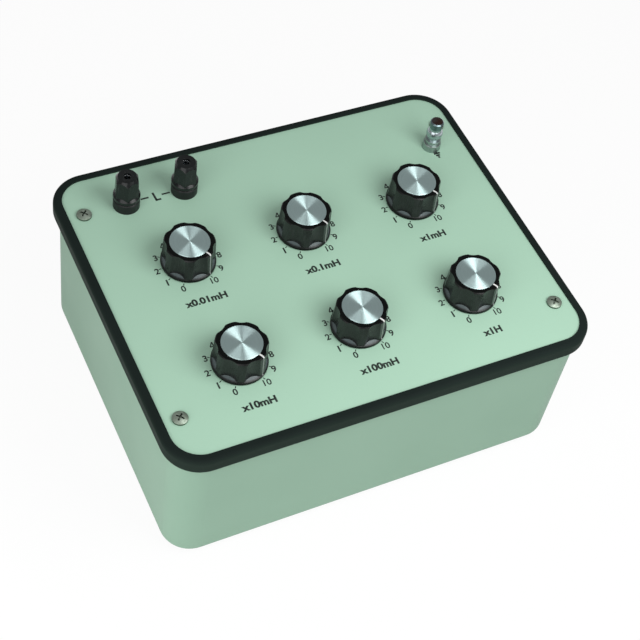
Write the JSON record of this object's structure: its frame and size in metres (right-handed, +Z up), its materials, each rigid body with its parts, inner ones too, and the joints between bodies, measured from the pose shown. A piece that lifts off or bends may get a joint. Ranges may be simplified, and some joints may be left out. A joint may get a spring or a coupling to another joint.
{
  "type": "inductance decade box",
  "caption": "Bench box that sets an inductance in decimal steps with panel dials: black binding posts, earth terminal, pale green case, black edge trim.",
  "frame": {"origin": "on the ground under the middle of the case", "axes": "+X to the right along the long side, +Y to the back, +Z up out of the panel"},
  "size_m": [0.2492, 0.2012, 0.1224],
  "materials": {
    "case_plastic": "smooth pale green moulded plastic",
    "trim_plastic": "black extruded edging, satin",
    "panel_paint": "pale green satin paint on sheet metal",
    "screw_steel": "zinc plated",
    "insert_brass": "turned",
    "foot_rubber": "matt black",
    "post_plastic": "glossy black",
    "plated_brass": "bright nickel plating",
    "insulator_fibre": "pressed fibre",
    "wafer_laminate": "paper laminate",
    "contact_brass": "stamped, silvered",
    "spring_steel": "rolled strip",
    "board_laminate": "green solder mask",
    "core_ferrite": "matt dark grey ferrite",
    "winding_copper": "enamelled copper wire",
    "wire_insulation": "red insulation",
    "knob_plastic": "glossy black moulding",
    "disc_aluminium": "spun, circular brushing",
    "shaft_nylon": "natural nylon",
    "rotor_plastic": "moulded, with a brass wiper",
    "cast_zinc": "die-cast zinc"
  },
  "bodies": {
    "root": {"case_shell": "case_plastic", "edge_trim": "trim_plastic", "front_panel": "panel_paint", "panel_screws": "screw_steel", "thread_inserts": "insert_brass", "rubber_feet": "foot_rubber", "left_post_base": "post_plastic", "left_post_stud": "plated_brass", "right_post_base": "post_plastic", "right_post_stud": "plated_brass", "earth_stud": "plated_brass", "terminal_nuts": "screw_steel", "terminal_lugs": "plated_brass", "post_insulators": "insulator_fibre", "stator_wafers": "wafer_laminate", "switch_contacts": "contact_brass", "switch_nuts": "screw_steel", "tie_screws": "screw_steel", "spacer_tubes": "insert_brass", "detent_springs": "spring_steel", "circuit_board": "board_laminate", "toroid_cores": "core_ferrite", "coil_windings": "winding_copper", "hookup_wires": "wire_insulation", "switch_body_1": "cast_zinc", "switch_body_2": "cast_zinc", "switch_body_3": "cast_zinc", "switch_body_4": "cast_zinc", "switch_body_5": "cast_zinc", "switch_body_6": "cast_zinc"},
    "dial_1": {"knob_1": "knob_plastic", "knob_disc_1": "disc_aluminium", "switch_shaft_1": "shaft_nylon", "switch_rotor_1": "rotor_plastic"},
    "dial_2": {"knob_2": "knob_plastic", "knob_disc_2": "disc_aluminium", "switch_shaft_2": "shaft_nylon", "switch_rotor_2": "rotor_plastic"},
    "dial_3": {"knob_3": "knob_plastic", "knob_disc_3": "disc_aluminium", "switch_shaft_3": "shaft_nylon", "switch_rotor_3": "rotor_plastic"},
    "dial_4": {"knob_4": "knob_plastic", "knob_disc_4": "disc_aluminium", "switch_shaft_4": "shaft_nylon", "switch_rotor_4": "rotor_plastic"},
    "dial_5": {"knob_5": "knob_plastic", "knob_disc_5": "disc_aluminium", "switch_shaft_5": "shaft_nylon", "switch_rotor_5": "rotor_plastic"},
    "dial_6": {"knob_6": "knob_plastic", "knob_disc_6": "disc_aluminium", "switch_shaft_6": "shaft_nylon", "switch_rotor_6": "rotor_plastic"},
    "left_washer": {"left_clamp_washer": "plated_brass"},
    "left_cap": {"left_post_cap": "post_plastic"},
    "right_washer": {"right_clamp_washer": "plated_brass"},
    "right_cap": {"right_post_cap": "post_plastic"},
    "earth_washer": {"earth_clamp_washer": "plated_brass"},
    "earth_grip": {"earth_nut": "plated_brass"}
  },
  "joints": [
    {"name": "dial_1_turn", "type": "hinge", "parent": "root", "child": "dial_1", "pos_m": [-0.069, 0.0222, 0.099], "axis": [0, 0, 1], "range_deg": [0, 300]},
    {"name": "dial_2_turn", "type": "hinge", "parent": "root", "child": "dial_2", "pos_m": [0, 0.0222, 0.099], "axis": [0, 0, 1], "range_deg": [0, 300]},
    {"name": "dial_3_turn", "type": "hinge", "parent": "root", "child": "dial_3", "pos_m": [0.069, 0.0222, 0.099], "axis": [0, 0, 1], "range_deg": [0, 300]},
    {"name": "dial_4_turn", "type": "hinge", "parent": "root", "child": "dial_4", "pos_m": [-0.069, -0.0488, 0.099], "axis": [0, 0, 1], "range_deg": [0, 300]},
    {"name": "dial_5_turn", "type": "hinge", "parent": "root", "child": "dial_5", "pos_m": [0, -0.0488, 0.099], "axis": [0, 0, 1], "range_deg": [0, 300]},
    {"name": "dial_6_turn", "type": "hinge", "parent": "root", "child": "dial_6", "pos_m": [0.069, -0.0488, 0.099], "axis": [0, 0, 1], "range_deg": [0, 300]},
    {"name": "left_washer_lift", "type": "slide", "parent": "root", "child": "left_washer", "axis": [0, 0, 1], "range_m": [0, 0.0035]},
    {"name": "left_cap_turn", "type": "hinge", "parent": "left_washer", "child": "left_cap", "pos_m": [-0.0862, 0.0712, 0.099], "axis": [0, 0, 1], "range_deg": [0, 1805]},
    {"name": "right_washer_lift", "type": "slide", "parent": "root", "child": "right_washer", "axis": [0, 0, 1], "range_m": [0, 0.0035]},
    {"name": "right_cap_turn", "type": "hinge", "parent": "right_washer", "child": "right_cap", "pos_m": [-0.0518, 0.0712, 0.099], "axis": [0, 0, 1], "range_deg": [0, 1805]},
    {"name": "earth_washer_lift", "type": "slide", "parent": "root", "child": "earth_washer", "axis": [0, 0, 1], "range_m": [0, 0.0035]},
    {"name": "earth_nut_turn", "type": "hinge", "parent": "earth_washer", "child": "earth_grip", "pos_m": [0.0998, 0.0571, 0.099], "axis": [0, 0, 1], "range_deg": [0, 1805]}
  ],
  "couplings": [
    {"joint": "left_cap_turn", "follows": "left_washer_lift", "rad_per_m": 8976},
    {"joint": "right_cap_turn", "follows": "right_washer_lift", "rad_per_m": 8976},
    {"joint": "earth_nut_turn", "follows": "earth_washer_lift", "rad_per_m": 8976}
  ]
}
